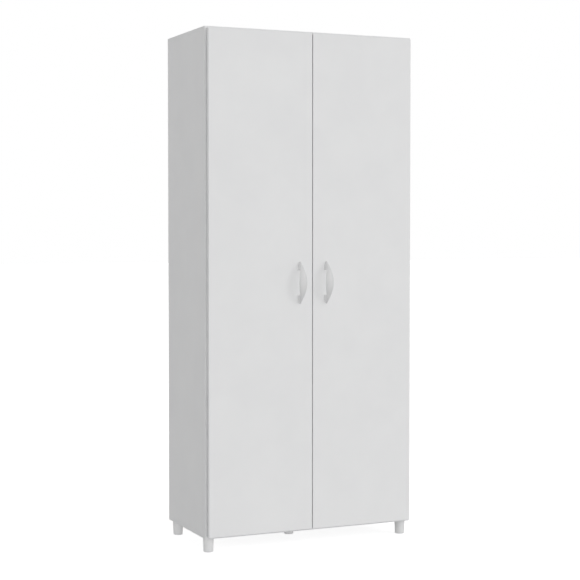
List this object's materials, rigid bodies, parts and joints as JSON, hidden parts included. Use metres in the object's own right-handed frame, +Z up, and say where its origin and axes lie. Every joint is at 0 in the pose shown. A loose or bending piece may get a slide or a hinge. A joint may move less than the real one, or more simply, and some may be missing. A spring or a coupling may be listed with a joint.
{
  "type": "pantry cabinet",
  "caption": "Tall freestanding pantry cabinet with two plain hinged doors, bow handles, fixed and loose shelves, a thin back and short round legs.",
  "frame": {"origin": "centre of the overall box in plan, on the floor under the legs", "axes": "+X to the right seen from the front, -Y out of the doors' faces, +Z up"},
  "size_m": [0.8, 0.4413, 1.82],
  "materials": {
    "white_board": "white melamine-faced particleboard with white edge banding, satin",
    "hardboard": "3 mm hardboard, brown and lightly ribbed behind, white lacquer inside",
    "white_plastic": "moulded white plastic, fine matt texture",
    "handle_plastic": "moulded off-white plastic, soft gloss",
    "zinc": "die-cast zinc, dull",
    "screw_steel": "zinc-plated steel",
    "nickel": "nickel-plated steel, satin",
    "bracket_zinc": "galvanised sheet steel",
    "beech": "fluted beech dowel",
    "clear_buffer": "soft clear urethane dot"
  },
  "bodies": {
    "carcass": {"back_joint_strip": "white_plastic", "back_nails": "screw_steel", "back_panel_lower": "hardboard", "back_panel_upper": "hardboard", "bottom_panel": "white_board", "bracket_screws": "screw_steel", "cam_bolts": "screw_steel", "cam_locks": "zinc", "centre_leg": "white_plastic", "dowels": "beech", "fixed_shelf": "white_board", "front_left_leg": "white_plastic", "front_right_leg": "white_plastic", "left_arm_screws": "screw_steel", "left_lower_hinge_arm": "nickel", "left_lower_hinge_plate": "nickel", "left_middle_hinge_arm": "nickel", "left_middle_hinge_plate": "nickel", "left_plate_screws": "screw_steel", "left_side_panel": "white_board", "left_upper_hinge_arm": "nickel", "left_upper_hinge_plate": "nickel", "leg_screws": "screw_steel", "loose_shelf_1": "white_board", "loose_shelf_2": "white_board", "loose_shelf_3": "white_board", "loose_shelf_4": "white_board", "rear_left_leg": "white_plastic", "rear_right_leg": "white_plastic", "right_arm_screws": "screw_steel", "right_lower_hinge_arm": "nickel", "right_lower_hinge_plate": "nickel", "right_middle_hinge_arm": "nickel", "right_middle_hinge_plate": "nickel", "right_plate_screws": "screw_steel", "right_side_panel": "white_board", "right_upper_hinge_arm": "nickel", "right_upper_hinge_plate": "nickel", "shelf_pins": "nickel", "top_panel": "white_board", "wall_brackets": "bracket_zinc"},
    "left_door": {"left_door": "white_board", "left_handle": "handle_plastic", "left_handle_screws": "screw_steel", "left_door_buffers": "clear_buffer", "left_hinge_pins": "screw_steel", "left_cup_screws": "screw_steel", "left_lower_hinge_cup": "nickel", "left_middle_hinge_cup": "nickel", "left_upper_hinge_cup": "nickel"},
    "right_door": {"right_door": "white_board", "right_handle": "handle_plastic", "right_handle_screws": "screw_steel", "right_door_buffers": "clear_buffer", "right_hinge_pins": "screw_steel", "right_cup_screws": "screw_steel", "right_lower_hinge_cup": "nickel", "right_middle_hinge_cup": "nickel", "right_upper_hinge_cup": "nickel"}
  },
  "joints": [
    {"name": "left_door_hinge", "type": "hinge", "parent": "carcass", "child": "left_door", "pos_m": [-0.3868, -0.17365, 0.935], "axis": [0, 0, -1], "range_deg": [0, 105]},
    {"name": "right_door_hinge", "type": "hinge", "parent": "carcass", "child": "right_door", "pos_m": [0.3868, -0.17365, 0.935], "axis": [0, 0, 1], "range_deg": [0, 105]}
  ]
}
